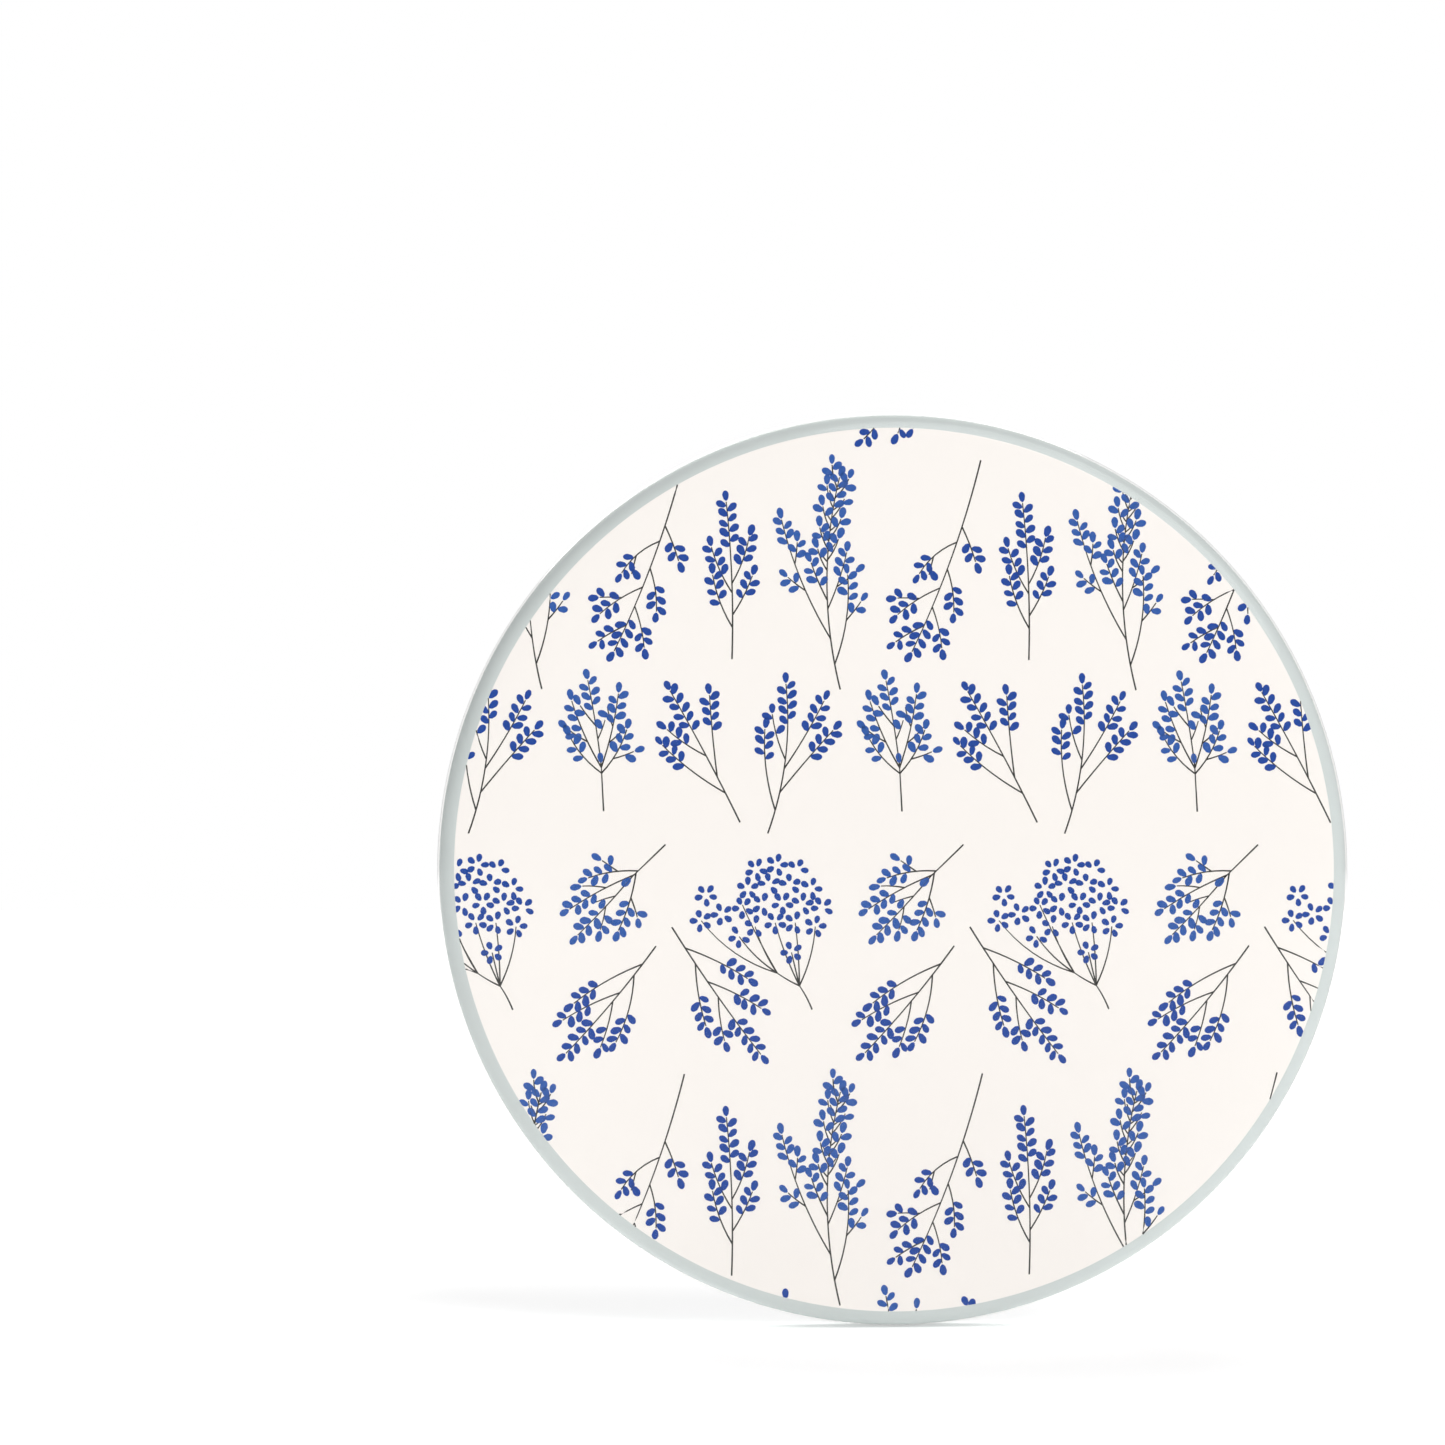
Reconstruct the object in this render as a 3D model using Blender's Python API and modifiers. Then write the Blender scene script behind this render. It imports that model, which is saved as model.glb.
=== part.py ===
"""Round button fridge magnet: a crimped tinplate button with a flexible magnet disc on its back.

The disc stands upright, as it hangs on a steel door. Its axis lies along Y, its printed front
faces -Y, and the origin is the centre of the magnet's outer face, which is the part's back.

All lengths are in metres. Each section is drawn as points (radius, height), where height runs
from the magnet's outer face, 0, towards the front of the button.
"""
from math import asin, cos, hypot, pi, radians, sin

import bpy

MM = 0.001

# Driving dimensions of the whole button
BUTTON_RADIUS = 29.0 * MM
BUTTON_THICKNESS = 5.2 * MM
TURN_STEPS = 48
MERGE_DISTANCE = 0.00001

# Front: three skins that follow one outline, each lying just under the one before
DOME_RISE = 0.6 * MM
SHOULDER_RADIUS = 1.3 * MM
CURL_RADIUS = 0.7 * MM
CURL_BACK_HEIGHT = 0.2 * MM
CURL_PAST_BACK = radians(10)
FILM_THICKNESS = 0.10 * MM
PAPER_THICKNESS = 0.12 * MM
TINPLATE_THICKNESS = 0.22 * MM
SKIN_GAP = 0.03 * MM
DOME_STEPS = 2
BEND_STEPS = 3

# Back: magnet and adhesive in the collet's recess
MAGNET_RADIUS = 25.7 * MM
MAGNET_THICKNESS = 0.85 * MM
MAGNET_EDGE_BEVEL = 0.08 * MM
ADHESIVE_RADIUS = 25.2 * MM
ADHESIVE_THICKNESS = 0.10 * MM
STACK_GAP = 0.03 * MM

# Collet, along the middle of its sheet
RECESS_RADIUS = 25.98 * MM
CREASE_RADIUS = 26.6 * MM
CREASE_HEIGHT = 0.82 * MM
BEAD_CENTRE_RADIUS = 27.75 * MM
BEAD_BEND = 0.22 * MM
BEAD_BACK_HEIGHT = 0.30 * MM
BEAD_START = radians(235)
WALL_END_HEIGHT = 1.15 * MM
FLANGE_TIP_RADIUS = 28.36 * MM
FLANGE_TIP_HEIGHT = 1.40 * MM

# The turned sections are drawn about Z and laid over, so that their front faces -Y
FRONT_TO_MINUS_Y = (pi / 2, 0, 0)


def clear_scene():
    for obj in list(bpy.data.objects):
        bpy.data.objects.remove(obj, do_unlink=True)


def make_collection(name):
    collection = bpy.data.collections.new(name)
    bpy.context.scene.collection.children.link(collection)
    return collection


def make_material(name, colour, roughness, metallic=0.0):
    material = bpy.data.materials.new(name)
    material.use_nodes = True
    shader = material.node_tree.nodes["Principled BSDF"]
    shader.inputs["Base Color"].default_value = (*colour, 1.0)
    shader.inputs["Roughness"].default_value = roughness
    shader.inputs["Metallic"].default_value = metallic
    return material


def bend(centre, radius, start, end, steps=BEND_STEPS):
    """Points along an arc. Angles are measured from the front direction, outwards and round."""
    angles = [start + (end - start) * step / steps for step in range(steps + 1)]
    return [(centre[0] + radius * sin(a), centre[1] + radius * cos(a)) for a in angles]


def skin_outline(inset):
    """The button's outline moved inwards by inset: shallow dome, shoulder, skirt and tucked curl."""
    shoulder_centre_radius = BUTTON_RADIUS - SHOULDER_RADIUS
    dome_radius = (shoulder_centre_radius ** 2 + DOME_RISE ** 2) / (2 * DOME_RISE)
    dome_centre = (0.0, BUTTON_THICKNESS - dome_radius)
    dome_angle = asin(shoulder_centre_radius / (dome_radius - SHOULDER_RADIUS))
    shoulder_height = dome_centre[1] + (dome_radius - SHOULDER_RADIUS) * cos(dome_angle)
    shoulder_centre = (shoulder_centre_radius, shoulder_height)
    curl_centre = (BUTTON_RADIUS - CURL_RADIUS, CURL_BACK_HEIGHT + CURL_RADIUS)

    dome = bend(dome_centre, dome_radius - inset, 0.0, dome_angle, DOME_STEPS)
    shoulder = bend(shoulder_centre, SHOULDER_RADIUS - inset, dome_angle, pi / 2)
    curl = bend(curl_centre, CURL_RADIUS - inset, pi / 2, pi + CURL_PAST_BACK)
    return dome[:-1] + shoulder + curl


def skin_section(inset, thickness):
    """Closed section of one skin, out along its outer face and back along its inner face."""
    return skin_outline(inset) + skin_outline(inset + thickness)[::-1]


def offset_line(points, distance):
    """A line beside points, distance to the left of its direction, with mitred corners."""
    moved = []
    for index, (radius, height) in enumerate(points):
        before = points[max(index - 1, 0)]
        after = points[min(index + 1, len(points) - 1)]
        normals = []
        for start, end in ((before, (radius, height)), ((radius, height), after)):
            length = hypot(end[0] - start[0], end[1] - start[1])
            if length > 0:
                normals.append(((start[1] - end[1]) / length, (end[0] - start[0]) / length))
        normal = (sum(n[0] for n in normals), sum(n[1] for n in normals))
        mitre = distance * len(normals) / (normal[0] ** 2 + normal[1] ** 2)
        moved.append((radius + normal[0] * mitre, height + normal[1] * mitre))
    return moved


def sheet_section(middle, thickness):
    """Closed section of a bent sheet whose middle line runs outwards from the axis."""
    front = offset_line(middle, thickness / 2)
    back = offset_line(middle, -thickness / 2)
    return front + back[::-1]


def turn(name, section, material, collection):
    """Turn a section about the button's axis. It starts and ends on the axis."""
    mesh = bpy.data.meshes.new(name)
    verts = [(radius, 0.0, height) for radius, height in section]
    mesh.from_pydata(verts, [(i, i + 1) for i in range(len(verts) - 1)], [])
    obj = bpy.data.objects.new(name, mesh)
    collection.objects.link(obj)
    obj.rotation_euler = FRONT_TO_MINUS_Y
    mesh.materials.append(material)

    screw = obj.modifiers.new("turn", "SCREW")
    screw.axis = "Z"
    screw.angle = 2 * pi
    screw.steps = TURN_STEPS
    screw.render_steps = TURN_STEPS
    screw.use_merge_vertices = True
    screw.merge_threshold = MERGE_DISTANCE
    screw.use_smooth_shade = True
    return obj


def flat_disc(name, radius, thickness, back_height, material, collection):
    """A cut disc whose back face lies at back_height."""
    bpy.ops.mesh.primitive_cylinder_add(
        vertices=TURN_STEPS,
        radius=radius,
        depth=thickness,
        location=(0.0, -back_height - thickness / 2, 0.0),
        rotation=FRONT_TO_MINUS_Y,
    )
    obj = bpy.context.object
    obj.name = name
    obj.data.name = name
    for owner in list(obj.users_collection):
        owner.objects.unlink(obj)
    collection.objects.link(obj)
    obj.data.materials.append(material)
    obj.data.shade_smooth()
    obj.data.set_sharp_from_angle(angle=radians(30))
    return obj


def make_clear_film(collection):
    """Polyester film over the print, drawn round the shoulder and tucked in at the back."""
    material = make_material("polyester_film", (0.90, 0.90, 0.88), 0.08)
    return turn("clear_film", skin_section(0.0, FILM_THICKNESS), material, collection)


def make_printed_paper(collection):
    """Printed paper disc between the film and the shell."""
    material = make_material("printed_paper", (0.98, 0.94, 0.90), 0.6)
    inset = FILM_THICKNESS + SKIN_GAP
    return turn("printed_paper", skin_section(inset, PAPER_THICKNESS), material, collection)


def make_front_shell(collection):
    """Tinplate shell: it gives the front its dome, and its curled edge grips the collet."""
    material = make_material("bright_tinplate", (0.55, 0.55, 0.56), 0.3, 1.0)
    inset = FILM_THICKNESS + PAPER_THICKNESS + 2 * SKIN_GAP
    return turn("front_shell", skin_section(inset, TINPLATE_THICKNESS), material, collection)


def collet_middle_line():
    """Middle of the collet's sheet: floor, slope, crease, band, rounded bead, wall and flange."""
    recess_back = MAGNET_THICKNESS + ADHESIVE_THICKNESS + 2 * STACK_GAP
    floor_height = recess_back + TINPLATE_THICKNESS / 2
    bead_centre = (BEAD_CENTRE_RADIUS, BEAD_BACK_HEIGHT + TINPLATE_THICKNESS / 2 + BEAD_BEND)
    bead = bend(bead_centre, BEAD_BEND, BEAD_START, pi / 2)
    wall_radius = BEAD_CENTRE_RADIUS + BEAD_BEND
    return [
        (0.0, floor_height),
        (RECESS_RADIUS, floor_height),
        (CREASE_RADIUS, CREASE_HEIGHT),
        *bead,
        (wall_radius, WALL_END_HEIGHT),
        (FLANGE_TIP_RADIUS, FLANGE_TIP_HEIGHT),
    ]


def make_back_collet(collection):
    """Dished tinplate back. Its bead fills the opening and its flange sits inside the curl."""
    material = make_material("dark_tinplate", (0.06, 0.045, 0.035), 0.35, 1.0)
    section = sheet_section(collet_middle_line(), TINPLATE_THICKNESS)
    return turn("back_collet", section, material, collection)


def make_adhesive_disc(collection):
    """Thin pressure-sensitive adhesive between the magnet and the collet's floor."""
    material = make_material("adhesive", (0.75, 0.72, 0.62), 0.5)
    back_height = MAGNET_THICKNESS + STACK_GAP
    return flat_disc(
        "adhesive_disc", ADHESIVE_RADIUS, ADHESIVE_THICKNESS, back_height, material, collection
    )


def make_magnet_disc(collection):
    """Flexible magnet cut from extruded sheet. Its back face is what clings to the door."""
    material = make_material("flexible_magnet", (0.055, 0.055, 0.055), 0.75)
    obj = flat_disc("magnet_disc", MAGNET_RADIUS, MAGNET_THICKNESS, 0.0, material, collection)
    edge = obj.modifiers.new("edge", "BEVEL")
    edge.width = MAGNET_EDGE_BEVEL
    edge.segments = 1
    edge.limit_method = "ANGLE"
    edge.angle_limit = radians(60)
    return obj


def main():
    clear_scene()
    button = make_collection("button_magnet")
    make_clear_film(button)
    make_printed_paper(button)
    make_front_shell(button)
    make_back_collet(button)
    make_adhesive_disc(button)
    make_magnet_disc(button)


main()
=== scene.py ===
"""Looks of a round button fridge magnet: pleated film and paper, leaf print, tinplate and magnet.

The button stands upright. Its axis lies along Y, its printed front faces -Y and its magnet faces +Y.
Sections are drawn as (radius, height), where height runs from the magnet's outer face to the front.
"""
import random
from math import asin, atan2, ceil, cos, exp, hypot, pi, radians, sin
from operator import mul
from typing import NamedTuple

import bpy
from mathutils import Matrix, Vector


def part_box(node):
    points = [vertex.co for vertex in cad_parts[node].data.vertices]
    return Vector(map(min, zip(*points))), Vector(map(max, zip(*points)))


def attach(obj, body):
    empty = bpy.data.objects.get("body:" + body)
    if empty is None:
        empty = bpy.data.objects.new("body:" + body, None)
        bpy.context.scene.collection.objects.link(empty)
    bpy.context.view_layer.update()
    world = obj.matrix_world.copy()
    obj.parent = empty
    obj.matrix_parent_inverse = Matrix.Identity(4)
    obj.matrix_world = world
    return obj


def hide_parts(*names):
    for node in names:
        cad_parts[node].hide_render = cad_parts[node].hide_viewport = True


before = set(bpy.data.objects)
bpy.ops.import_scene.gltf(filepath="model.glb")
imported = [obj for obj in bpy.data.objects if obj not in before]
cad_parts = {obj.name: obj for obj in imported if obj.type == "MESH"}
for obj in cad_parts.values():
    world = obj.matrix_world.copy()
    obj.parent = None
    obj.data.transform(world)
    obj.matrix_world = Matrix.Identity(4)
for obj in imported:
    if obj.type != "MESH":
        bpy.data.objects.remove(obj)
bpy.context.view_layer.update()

bl_info = {
    "name": "Button Fridge Magnet",
    "version": (1, 0, 0),
    "blender": (4, 5, 0),
    "location": "View3D > Sidebar > Magnet",
    "description": "Models the finished pieces of a crimped button magnet round its CAD frame",
    "category": "Object",
}

MM = 0.001
FILM_LOW, FILM_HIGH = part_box("clear_film")
COLLET_LOW, COLLET_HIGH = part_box("back_collet")
MAGNET_LOW, MAGNET_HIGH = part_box("magnet_disc")
ADHESIVE_LOW, ADHESIVE_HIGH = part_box("adhesive_disc")
PLEAT_SEED = 4
FIRST_SPRIG_SEED = 11

# Fineness of the meshes
MERGE_DISTANCE = 0.0005 * MM
FACE_DOME_STEPS = 7
SHELL_DOME_STEPS = 5
SHOULDER_STEPS = 8
CURL_STEPS = 12
SHELL_TURN_STEPS = 240
COLLET_TURN_STEPS = 360
MAGNET_CORNERS = 288
ADHESIVE_CORNERS = 144
ARC_STEPS = 8
STEM_STEP_MM = 0.6
TRIM_HALVINGS = 20

# A stem's line thins towards its end. Lines come in a few widths, so that the meshes of those
# that start at one point share no edge.
LINE_TAPER = 0.35
LINE_WIDTHS = 8
LINE_WIDTH_STEP = 0.02


def srgb(code):
    """Linear colour of an sRGB hex code."""
    shares = [int(code[i : i + 2], 16) / 255 for i in (0, 2, 4)]
    return tuple(c / 12.92 if c <= 0.04045 else ((c + 0.055) / 1.055) ** 2.4 for c in shares)


def length_setting(name, description, default):
    return bpy.props.FloatProperty(
        name=name, description=description, default=default, unit="LENGTH", precision=5
    )


def angle_setting(name, description, degrees):
    return bpy.props.FloatProperty(
        name=name, description=description, default=radians(degrees), subtype="ANGLE"
    )


def share_setting(name, description, default, highest):
    return bpy.props.FloatProperty(name=name, description=description, default=default, min=0, max=highest)


def colour_setting(name, description, code):
    return bpy.props.FloatVectorProperty(
        name=name, description=description, default=srgb(code), subtype="COLOR", size=3, min=0, max=1
    )


# ---- settings


class SkinSettings(bpy.types.PropertyGroup):
    """Sizes of the button's outline and of the film, paper and shell that follow it."""

    radius: length_setting("Radius", "Outer radius of the button", FILM_HIGH[0])
    front: length_setting("Front", "Height of the dome's crown above the magnet's face", -FILM_LOW[1])
    curl_back: length_setting("Curl back", "Height of the tucked curl's back", -FILM_HIGH[1])
    dome_rise: length_setting("Dome rise", "Rise of the crown over the shoulder", 0.6 * MM)
    shoulder_radius: length_setting("Shoulder", "Radius of the front shoulder", 1.3 * MM)
    curl_radius: length_setting("Curl", "Radius of the tucked curl", 0.7 * MM)
    film: length_setting("Film", "Thickness of the film", 0.10 * MM)
    paper: length_setting("Paper", "Thickness of the paper", 0.12 * MM)
    tinplate: length_setting("Tinplate", "Thickness of the tinplate", 0.22 * MM)
    gap: length_setting("Gap", "Gap between neighbouring layers", 0.03 * MM)
    curl_past_back: angle_setting("Curl past back", "How far the curl turns in past its back", 18)
    shell_short: angle_setting("Shell short", "How far before the back the shell's curl ends", 25)
    turn_steps: bpy.props.IntProperty(
        name="Turn steps", description="Steps round the film and the paper", default=900, min=96
    )


class PleatSettings(bpy.types.PropertyGroup):
    """Pleats of the film and paper where they are tucked in at the back."""

    count: bpy.props.IntProperty(name="Pleats", description="Pleats round the button", default=58, min=8)
    shift: share_setting("Shift", "Unevenness of their spacing", 0.3, 0.45)
    lap: length_setting("Lap", "Height of a pleat's edge over the next pleat", 0.16 * MM)
    crease: length_setting("Crease", "Width of the crease beside a pleat's edge", 0.42 * MM)
    sag: length_setting("Sag", "Hollow of the whole tucked edge", 0.03 * MM)
    scallop: share_setting("Scallop", "Share of the curl left bare at a pleat", 0.2, 0.6)


class PrintSettings(bpy.types.PropertyGroup):
    """Sizes of the leaf print."""

    radius: length_setting("Print radius", "Radius at which the print is trimmed", 27.95 * MM)
    tile_width: length_setting("Repeat width", "Width of the print's repeat", 18.85 * MM)
    tile_height: length_setting("Repeat height", "Height of the print's repeat", 38.85 * MM)
    leaf_length: length_setting("Leaf length", "Length of a leaf", 0.70 * MM)
    leaf_width: length_setting("Leaf width", "Width of a leaf", 0.45 * MM)
    leaf_pitch: length_setting("Leaf pitch", "Distance between leaves on one side", 0.64 * MM)
    leaf_stalk: length_setting("Leaf stalk", "Gap between a stem and its leaf", 0.05 * MM)
    leaf_room: length_setting("Leaf room", "Least distance between two leaves' middles", 0.42 * MM)
    petal_length: length_setting("Petal length", "Length of a petal", 0.52 * MM)
    petal_width: length_setting("Petal width", "Width of a petal", 0.39 * MM)
    petal_start: length_setting("Petal start", "Distance from a flower's middle", 0.21 * MM)
    line_width: length_setting("Line width", "Width of a stem's line", 0.105 * MM)
    leaf_ink: length_setting("Leaf ink", "Height of the blue ink", 0.010 * MM)
    line_ink: length_setting("Line ink", "Height of the grey ink", 0.016 * MM)


class BackSettings(bpy.types.PropertyGroup):
    """Sizes of the collet, the adhesive and the magnet."""

    recess_radius: length_setting("Recess", "Radius of the collet's flat floor", 25.95 * MM)
    crease_radius: length_setting("Crease radius", "Radius of the crease", 26.6 * MM)
    crease_height: length_setting("Crease height", "Height of the crease's back", 0.70 * MM)
    band_height: length_setting("Band height", "Height of the band's hollow", 0.80 * MM)
    bead_back: length_setting("Bead back", "Height of the bead's back", -COLLET_HIGH[1])
    bead_radius: length_setting("Bead radius", "Radius of the bead's crown", 27.75 * MM)
    flange_radius: length_setting("Flange", "Radius of the flange's edge", COLLET_HIGH[0])
    flange_height: length_setting("Flange height", "Height of the flange's edge", -COLLET_LOW[1])
    magnet_radius: length_setting("Magnet radius", "Radius of the magnet", MAGNET_HIGH[0])
    magnet_thickness: length_setting("Magnet", "Thickness of the magnet", -MAGNET_LOW[1])
    magnet_wander: length_setting("Cut", "Wander of the magnet's cut edge", 0.10 * MM)
    adhesive_radius: length_setting("Adhesive radius", "Radius of the adhesive", ADHESIVE_HIGH[0])


class ColourSettings(bpy.types.PropertyGroup):
    """Colours of the finished pieces."""

    ground: colour_setting("Ground", "Printed warm white ground", "FBF6F3")
    # Bare paper past the print: cool white, greyed with painted shade of the curved shoulder, which greys
    # the tucked border too
    shaded_stock: colour_setting("Stock", "Bare paper past the print", "D3DADA")
    leaf_deep: colour_setting("Deep blue", "Leaves of most sprigs", "1A469E")
    leaf_light: colour_setting("Light blue", "Leaves of the open sprigs", "2C5AAA")
    stem: colour_setting("Stem", "Stem lines", "3C3C3A")
    collet: colour_setting("Collet", "Bronzed tinplate", "42342B")
    collet_recess: colour_setting("Collet recess", "Redder bronze inside the crease", "4B3226")
    # Pale tin, used both for wear and for painted highlights along the crease and the bead
    collet_worn_and_highlit: colour_setting("Worn collet", "Tin where the finish is rubbed", "D6D3C9")
    magnet: colour_setting("Magnet", "Flexible magnet", "110F0F")
    magnet_dust: colour_setting("Magnet ribs", "Paler ribs of the magnet", "262525")
    tin: colour_setting("Tinplate", "Bright tinplate", "C9CBCC")
    adhesive: colour_setting("Adhesive", "Adhesive layer", "D8D0B8")
    floor: colour_setting("Floor", "Studio floor", "FAFAFA")


# ---- sections


def bend(centre, radius, start, end, steps):
    """Points along an arc. Angles run from the front direction, outwards and round to the back."""
    angles = [start + (end - start) * step / steps for step in range(steps + 1)]
    return [(centre[0] + radius * sin(a), centre[1] + radius * cos(a)) for a in angles]


def dome_shape(skin):
    """Dome's sphere radius and centre height, slope where the shoulder starts, shoulder's centre."""
    out = skin.radius - skin.shoulder_radius
    sphere = (out**2 + skin.dome_rise**2) / (2 * skin.dome_rise)
    centre = skin.front - sphere
    slope = asin(out / (sphere - skin.shoulder_radius))
    return sphere, centre, slope, (out, centre + (sphere - skin.shoulder_radius) * cos(slope))


def face_height(skin, radius, inset):
    """Height of a skin's front at a radius, inset below the film's outer face."""
    sphere, centre, slope, shoulder = dome_shape(skin)
    if radius <= sphere * sin(slope):
        return centre + ((sphere - inset) ** 2 - radius**2) ** 0.5
    reach = skin.shoulder_radius - inset
    return shoulder[1] + (reach**2 - min(radius - shoulder[0], reach) ** 2) ** 0.5


def skin_outline(skin, inset, dome_steps, curl_past_back):
    """The button's outline moved in by inset: dome, shoulder, skirt and tucked curl."""
    sphere, centre, slope, shoulder_centre = dome_shape(skin)
    curl_centre = (skin.radius - skin.curl_radius, skin.curl_back + skin.curl_radius)
    dome = bend((0.0, centre), sphere - inset, 0.0, slope, dome_steps)
    shoulder = bend(shoulder_centre, skin.shoulder_radius - inset, slope, pi / 2, SHOULDER_STEPS)
    curl = bend(curl_centre, skin.curl_radius - inset, pi / 2, pi + curl_past_back, CURL_STEPS)
    return dome[:-1] + shoulder + curl


# ---- modelling


def deselect_all():
    if bpy.context.mode != "OBJECT":
        bpy.ops.object.mode_set(mode="OBJECT")
    bpy.ops.object.select_all(action="DESELECT")


def pick(piece):
    """Leave one object selected and active."""
    deselect_all()
    piece.select_set(True)
    bpy.context.view_layer.objects.active = piece


def edit(piece, chosen):
    """Go into edit mode with only the chosen vertices selected."""
    pick(piece)
    bpy.ops.object.mode_set(mode="EDIT")
    bpy.ops.mesh.select_all(action="DESELECT")
    bpy.ops.object.mode_set(mode="OBJECT")
    for vertex in piece.data.vertices:
        vertex.select = chosen(vertex)
    bpy.ops.object.mode_set(mode="EDIT")


def named(name):
    """Name the object that was just made, and its data."""
    piece = bpy.context.object
    piece.name = name
    piece.data.name = name
    return piece


def close_seams():
    """In edit mode, merge the vertices that lie together and point all faces outwards."""
    bpy.ops.mesh.select_all(action="SELECT")
    bpy.ops.mesh.remove_doubles(threshold=MERGE_DISTANCE)
    bpy.ops.mesh.normals_make_consistent(inside=False)
    bpy.ops.object.mode_set(mode="OBJECT")


def draw_outline(name, points):
    """A new object in edit mode with a line of vertices, drawn one by one from a single point."""
    deselect_all()
    bpy.ops.mesh.primitive_plane_add(size=MM, location=(0, 0, 0))
    piece = named(name)
    bpy.ops.object.mode_set(mode="EDIT")
    bpy.ops.mesh.select_all(action="SELECT")
    bpy.ops.mesh.merge(type="CENTER")
    bpy.ops.transform.translate(value=(points[0][0], -points[0][1], 0))
    for before, after in zip(points, points[1:]):
        move = (after[0] - before[0], before[1] - after[1], 0)
        bpy.ops.mesh.extrude_vertices_move(TRANSFORM_OT_translate={"value": move})
    return piece


def spin_outline(name, points, steps):
    """Turn an outline about the button's axis and point its faces outwards."""
    piece = draw_outline(name, points)
    bpy.ops.mesh.select_all(action="SELECT")
    bpy.ops.mesh.spin(steps=steps, angle=2 * pi, center=(0, 0, 0), axis=(0, 1, 0))
    close_seams()
    foremost = min(piece.data.polygons, key=lambda face: face.center.y)
    if foremost.normal.y > 0:
        bpy.ops.object.mode_set(mode="EDIT")
        bpy.ops.mesh.flip_normals()
        bpy.ops.object.mode_set(mode="OBJECT")
    return piece


def thicken(piece, thickness, offset=-1.0):
    """Give an open sheet its thickness."""
    wall = piece.modifiers.new("wall", "SOLIDIFY")
    wall.thickness = thickness
    wall.offset = offset
    wall.use_even_offset = True
    pick(piece)
    bpy.ops.object.modifier_apply(modifier=wall.name)


def smooth(piece, degrees):
    """Shade a piece smooth, apart from edges sharper than an angle."""
    pick(piece)
    bpy.ops.object.shade_smooth_by_angle(angle=radians(degrees))


def join(objects, name):
    """Join objects into one, with its origin at the frame's origin."""
    deselect_all()
    for obj in objects:
        obj.select_set(True)
    bpy.context.view_layer.objects.active = objects[0]
    bpy.ops.object.join()
    bpy.ops.object.transform_apply(location=True, rotation=True, scale=True)
    return named(name)


def settle(piece, material, slot, *nodes):
    """Finish a piece: its material, its body and the CAD nodes it stands for. The slot argument is not
    used.
    """
    piece.data.materials.clear()
    piece.data.materials.append(material)
    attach(piece, "root")
    if nodes:
        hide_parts(*nodes)


# ---- materials


def add(tree, kind, inputs=None, **settings):
    """Add a shader node. Each input is given a value, or the node or socket it is linked to."""
    made = tree.nodes.new("ShaderNode" + kind)
    for name, value in settings.items():
        setattr(made, name, value)
    for socket, given in (inputs or {}).items():
        if isinstance(given, bpy.types.Node):
            given = next(output for output in given.outputs if output.enabled)
        if isinstance(given, bpy.types.NodeSocket):
            tree.links.new(given, made.inputs[socket])
        else:
            made.inputs[socket].default_value = given
    return made


def new_material(name):
    """A material with only its output node, its tree, and the place of each point on the piece."""
    material = bpy.data.materials.new(name)
    material.use_nodes = True
    tree = material.node_tree
    for old in list(tree.nodes):
        if old.type != "OUTPUT_MATERIAL":
            tree.nodes.remove(old)
    return material, tree, add(tree, "TexCoord").outputs["Object"]


def finish_material(material, shader):
    """Link a material's last shader to its output, which is its first node."""
    tree = material.node_tree
    tree.links.new(shader.outputs[0], tree.nodes[0].inputs["Surface"])
    return material


def opaque(colour, shade=1.0):
    """A colour for a socket, darkened or tinted by a shade."""
    return (*(share * shade for share in colour), 1.0)


def axis_distance(tree, place):
    """Distance from the button's axis, and the place with its depth left out."""
    flat = add(tree, "VectorMath", {0: place, 1: (1, 0, 1)}, operation="MULTIPLY")
    return add(tree, "VectorMath", {0: flat}, operation="LENGTH"), flat


# The range that most of a noise lies in
BROAD = {"From Min": 0.3, "From Max": 0.7}
# Radial marks left by the die, for each radian round the axis
DRAW_MARKS = 190.0


def ring(tree, radius, centre, reach):
    """1 on a ring round the axis, falling to 0 at a reach to either side."""
    away = add(tree, "Math", {0: radius, 1: centre}, operation="SUBTRACT")
    size = add(tree, "Math", {0: away}, operation="ABSOLUTE")
    return add(tree, "MapRange", {"Value": size, "From Max": reach, "To Min": 1.0, "To Max": 0.0})


def coated_paper(colours, print_radius):
    """Coated white paper, offset printed: soft sheen, even ground, faint fibre, and bare paper past the
    print greyed with painted shade of the shoulder.
    """
    material, tree, place = new_material("coated_paper_printed")
    radius, _ = axis_distance(tree, place)
    fibre = add(tree, "TexNoise", {"Vector": place, "Scale": 1 / (0.35 * MM), "Detail": 4.0})
    cloud = add(tree, "TexNoise", {"Vector": place, "Scale": 1 / (6 * MM), "Detail": 2.0})
    # Bare paper past the print, varied by a soft cloud; its grey is painted shade of the shoulder
    bare = {6: opaque(colours.shaded_stock, 0.93), 7: opaque(colours.shaded_stock)}
    shaded_stock = add(tree, "Mix", {0: cloud, **bare}, data_type="RGBA")
    printed = {6: opaque(colours.ground, 0.985), 7: opaque(colours.ground)}
    ground = add(tree, "Mix", {0: fibre, **printed}, data_type="RGBA")
    edge = {"From Min": print_radius - 0.02 * MM, "From Max": print_radius + 0.02 * MM}
    trimmed = add(tree, "MapRange", {"Value": radius, **edge})
    colour = add(tree, "Mix", {0: trimmed, 6: ground, 7: shaded_stock}, data_type="RGBA")
    bump = add(tree, "Bump", {"Height": fibre, "Strength": 0.12, "Distance": 0.01 * MM})
    finish = {"Base Color": colour, "Roughness": 0.55, "Specular IOR Level": 0.3, "Normal": bump}
    return finish_material(material, add(tree, "BsdfPrincipled", finish))


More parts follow.
